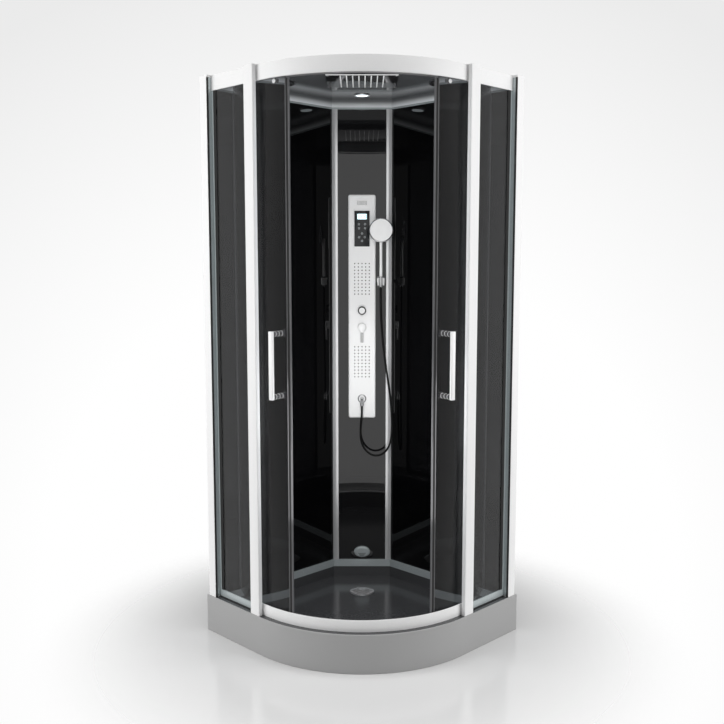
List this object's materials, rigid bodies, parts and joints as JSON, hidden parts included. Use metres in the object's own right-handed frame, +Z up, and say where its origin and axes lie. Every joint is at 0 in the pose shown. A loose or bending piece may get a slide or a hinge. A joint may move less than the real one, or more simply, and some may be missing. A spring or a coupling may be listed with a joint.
{
  "type": "steam shower cabin",
  "caption": "Quadrant steam shower cabin for a room corner: raised tray, black glass walls, curved sliding glass doors, lit roof with rain shower, mixer column, hand shower and steam outlet.",
  "frame": {"origin": "middle of the square base, on the floor, under the middle levelling foot", "axes": "+Z up; the wall sides are at -X and +Y, and the rounded front with the doors faces +X -Y"},
  "size_m": [0.9281, 0.9281, 2.257],
  "materials": {
    "tray_acrylic": "gloss",
    "roof_acrylic": "gloss",
    "apron_silver": "satin",
    "galvanised_steel": "galvanised",
    "white_plastic": "gloss",
    "white_silicone": "matt",
    "grey_silicone": "matt",
    "chrome": "polished",
    "black_glass": "polished",
    "grey_glass": "polished",
    "tinted_glass": "polished",
    "bright_aluminium": "satin",
    "grey_aluminium": "satin",
    "white_aluminium": "gloss",
    "black_rubber": "matt",
    "clear_seal": "translucent",
    "black_plastic": "gloss",
    "black_hose": "smooth",
    "brass_body": "cast",
    "copper_pipe": "drawn",
    "nylon": "smooth"
  },
  "bodies": {
    "cabin": {"apron": "apron_silver", "body_jets": "grey_silicone", "bottom_rails": "grey_aluminium", "ceiling_grilles": "black_plastic", "ceiling_lamp": "chrome", "column_panel": "grey_glass", "column_profiles": "bright_aluminium", "control_unit": "black_plastic", "curved_header": "white_aluminium", "curved_rail": "white_aluminium", "door_track": "bright_aluminium", "fan_housing": "black_plastic", "handset_holder": "chrome", "hose_elbow": "chrome", "levelling_feet": "galvanised_steel", "mixer_valve": "brass_body", "post_left": "white_aluminium", "post_right": "white_aluminium", "rain_nozzles": "white_silicone", "rain_shower": "chrome", "roof": "roof_acrylic", "service_pipes": "copper_pipe", "shower_hose": "black_hose", "shower_plate": "white_plastic", "side_frames": "grey_aluminium", "side_gaskets": "black_rubber", "side_glass_left": "tinted_glass", "side_glass_right": "tinted_glass", "side_headers": "white_aluminium", "speaker": "white_plastic", "steam_generator": "white_plastic", "steam_outlet": "grey_aluminium", "support_frame": "galvanised_steel", "top_rails": "grey_aluminium", "tray": "tray_acrylic", "wall_panel_left": "black_glass", "wall_panel_right": "black_glass", "wall_profile_left": "white_aluminium", "wall_profile_right": "white_aluminium", "waste_trap": "white_plastic"},
    "door_right": {"door_glass_right": "tinted_glass", "door_seal_right": "clear_seal", "door_hangers_right": "chrome", "handle_right": "chrome"},
    "door_left": {"door_glass_left": "tinted_glass", "door_seal_left": "clear_seal", "door_hangers_left": "chrome", "handle_left": "chrome"},
    "wheel_right_lead": {"wheel_right_lead": "nylon"},
    "wheel_right_tail": {"wheel_right_tail": "nylon"},
    "wheel_left_lead": {"wheel_left_lead": "nylon"},
    "wheel_left_tail": {"wheel_left_tail": "nylon"},
    "drain_cover": {"drain_cover": "chrome"},
    "diverter": {"diverter_knob": "chrome"},
    "mixer": {"mixer_cap": "chrome"},
    "lever": {"mixer_lever": "chrome"},
    "handset_cone": {"hose_cone": "chrome"},
    "handset": {"hand_shower": "chrome"},
    "impeller": {"fan_impeller": "black_plastic"}
  },
  "joints": [
    {"name": "door_right_slide", "type": "hinge", "parent": "cabin", "child": "door_right", "pos_m": [-0.1, 0.1, 0], "axis": [0, 0, -1], "range_deg": [0, 30.2]},
    {"name": "door_left_slide", "type": "hinge", "parent": "cabin", "child": "door_left", "pos_m": [-0.1, 0.1, 0], "axis": [0, 0, 1], "range_deg": [0, 30.2]},
    {"name": "wheel_right_lead_spin", "type": "hinge", "parent": "door_right", "child": "wheel_right_lead", "pos_m": [0.39457, 0.03752, 2.1813], "axis": [0.9921, -0.1253, 0], "range_deg": [0, 1370.6]},
    {"name": "wheel_left_lead_spin", "type": "hinge", "parent": "door_left", "child": "wheel_left_lead", "pos_m": [-0.03752, -0.39457, 2.1813], "axis": [-0.1253, 0.9921, 0], "range_deg": [0, 1370.6]},
    {"name": "wheel_right_tail_spin", "type": "hinge", "parent": "door_right", "child": "wheel_right_tail", "pos_m": [0.35069, 0.31304, 2.1813], "axis": [0.9041, 0.4274, 0], "range_deg": [0, 1370.6]},
    {"name": "wheel_left_tail_spin", "type": "hinge", "parent": "door_left", "child": "wheel_left_tail", "pos_m": [-0.31304, -0.35069, 2.1813], "axis": [0.4274, 0.9041, 0], "range_deg": [0, 1370.6]},
    {"name": "drain_cover_lift", "type": "slide", "parent": "cabin", "child": "drain_cover", "axis": [0, 0, 1], "range_m": [0, 0.035]},
    {"name": "diverter_turn", "type": "hinge", "parent": "cabin", "child": "diverter", "pos_m": [-0.3182, 0.3182, 1.292], "axis": [0.7071, -0.7071, 0], "range_deg": [-90, 90]},
    {"name": "mixer_turn", "type": "hinge", "parent": "cabin", "child": "mixer", "pos_m": [-0.3182, 0.3182, 1.217], "axis": [0.7071, -0.7071, 0], "range_deg": [-45, 45]},
    {"name": "lever_lift", "type": "hinge", "parent": "mixer", "child": "lever", "pos_m": [-0.31396, 0.31396, 1.206], "axis": [-0.7071, -0.7071, 0], "range_deg": [0, 25]},
    {"name": "handset_lift", "type": "slide", "parent": "cabin", "child": "handset_cone", "axis": [0, 0, 1], "range_m": [0, 0.05]},
    {"name": "handset_swivel", "type": "hinge", "parent": "handset_cone", "child": "handset", "pos_m": [-0.2448, 0.36331, 1.45], "axis": [0, 0, 1], "range_deg": [-30, 30]},
    {"name": "fan_spin", "type": "hinge", "parent": "cabin", "child": "impeller", "pos_m": [-0.29204, -0.16758, 2.23], "axis": [0, 0, 1], "continuous": true}
  ],
  "couplings": [
    {"joint": "wheel_right_lead_spin", "follows": "door_right_slide", "ratio": 45.318},
    {"joint": "wheel_left_lead_spin", "follows": "door_left_slide", "ratio": 45.318},
    {"joint": "wheel_right_tail_spin", "follows": "door_right_slide", "ratio": 45.318},
    {"joint": "wheel_left_tail_spin", "follows": "door_left_slide", "ratio": 45.318}
  ]
}
